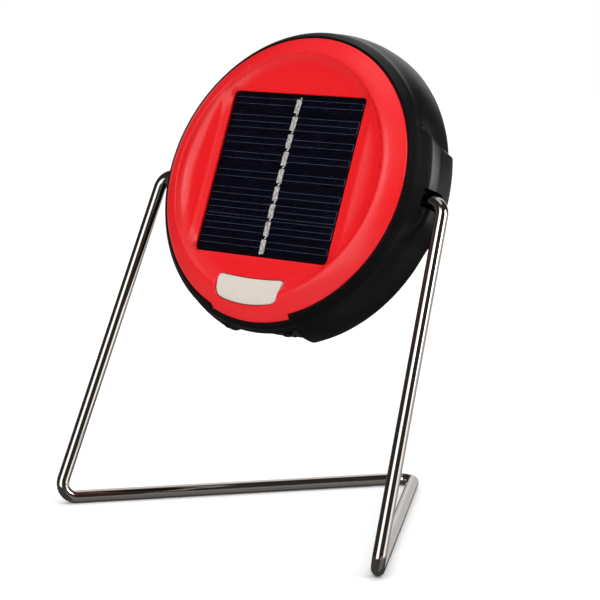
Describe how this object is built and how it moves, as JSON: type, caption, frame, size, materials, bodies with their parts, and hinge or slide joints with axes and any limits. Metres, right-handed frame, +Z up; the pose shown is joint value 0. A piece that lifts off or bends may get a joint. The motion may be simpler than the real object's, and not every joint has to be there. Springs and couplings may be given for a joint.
{
  "type": "solar lantern",
  "caption": "Round tilting solar lantern: solar panel and push button on a dished front, lamp on the back, held by a bent wire stand.",
  "frame": {"origin": "on the ground under the middle of the whole object", "axes": "+Z up, the solar panel faces -Y and leans back, X runs along the tilt axis"},
  "size_m": [0.1442, 0.1207, 0.171],
  "materials": {
    "plated_wire": "bright nickel plate",
    "red_plastic": "semi-gloss moulded plastic",
    "black_plastic": "satin moulded plastic",
    "cream_plastic": "semi-gloss moulded plastic",
    "panel_potting": "clear cast resin",
    "silicon": "dark silicon under resin",
    "solder": "tinned copper",
    "panel_board": "black laminate",
    "rubber": "soft black rubber",
    "switch_case": "moulded plastic",
    "circuit_board": "green solder mask",
    "chip_plastic": "black moulding",
    "ferrite": "grey-brown ferrite",
    "capacitor_sleeve": "printed sleeve, no text",
    "plated_steel": "zinc or nickel plate",
    "port_plastic": "flexible dark plastic",
    "frame_plastic": "moulded plastic",
    "battery_wrap": "shrink sleeve, no text",
    "led_board": "white-masked aluminium board",
    "led_phosphor": "yellow phosphor",
    "reflector_white": "white or metallised moulding",
    "lens_clear": "lightly frosted clear plastic",
    "lead_insulation": "red and black insulation"
  },
  "bodies": {
    "stand": {"wire_stand": "plated_wire"},
    "button": {"power_button": "cream_plastic", "switch_plunger": "black_plastic"},
    "door": {"port_door": "port_plastic"},
    "head": {"bezel": "red_plastic", "rear_shell": "black_plastic", "seam_seal": "rubber", "pivot_bush_left": "rubber", "pivot_bush_right": "rubber", "panel_cover": "panel_potting", "solar_cells": "silicon", "cell_tabs": "solder", "panel_board": "panel_board", "panel_gasket": "rubber", "tact_switch": "switch_case", "main_board": "circuit_board", "charge_controller": "chip_plastic", "inductor": "ferrite", "capacitor": "capacitor_sleeve", "charge_jack": "chip_plastic", "usb_socket": "plated_steel", "inner_frame": "frame_plastic", "battery_cell": "battery_wrap", "battery_cradle": "frame_plastic", "battery_strap": "black_plastic", "battery_tabs": "plated_steel", "led_board": "led_board", "leds": "led_phosphor", "reflector": "reflector_white", "lens": "lens_clear", "lens_seal": "rubber", "lens_ring": "black_plastic", "case_screws": "plated_steel", "board_screws": "plated_steel", "strap_screws": "plated_steel", "led_board_screws": "plated_steel", "panel_leads": "lead_insulation", "battery_leads": "lead_insulation", "lamp_leads": "lead_insulation"}
  },
  "joints": [
    {"name": "head_tilt", "type": "hinge", "parent": "stand", "child": "head", "pos_m": [0, -0.01797, 0.1171], "axis": [1, 0, 0], "continuous": true},
    {"name": "button_press", "type": "slide", "parent": "head", "child": "button", "axis": [0, 0.9423, -0.3346], "range_m": [0, 0.0007], "stiffness_N_per_m": 1500, "springref_m": -0.0003},
    {"name": "port_door_hinge", "type": "hinge", "parent": "head", "child": "door", "pos_m": [0, -0.03644, 0.07032], "axis": [-1, 0, 0], "range_deg": [0, 100]}
  ]
}
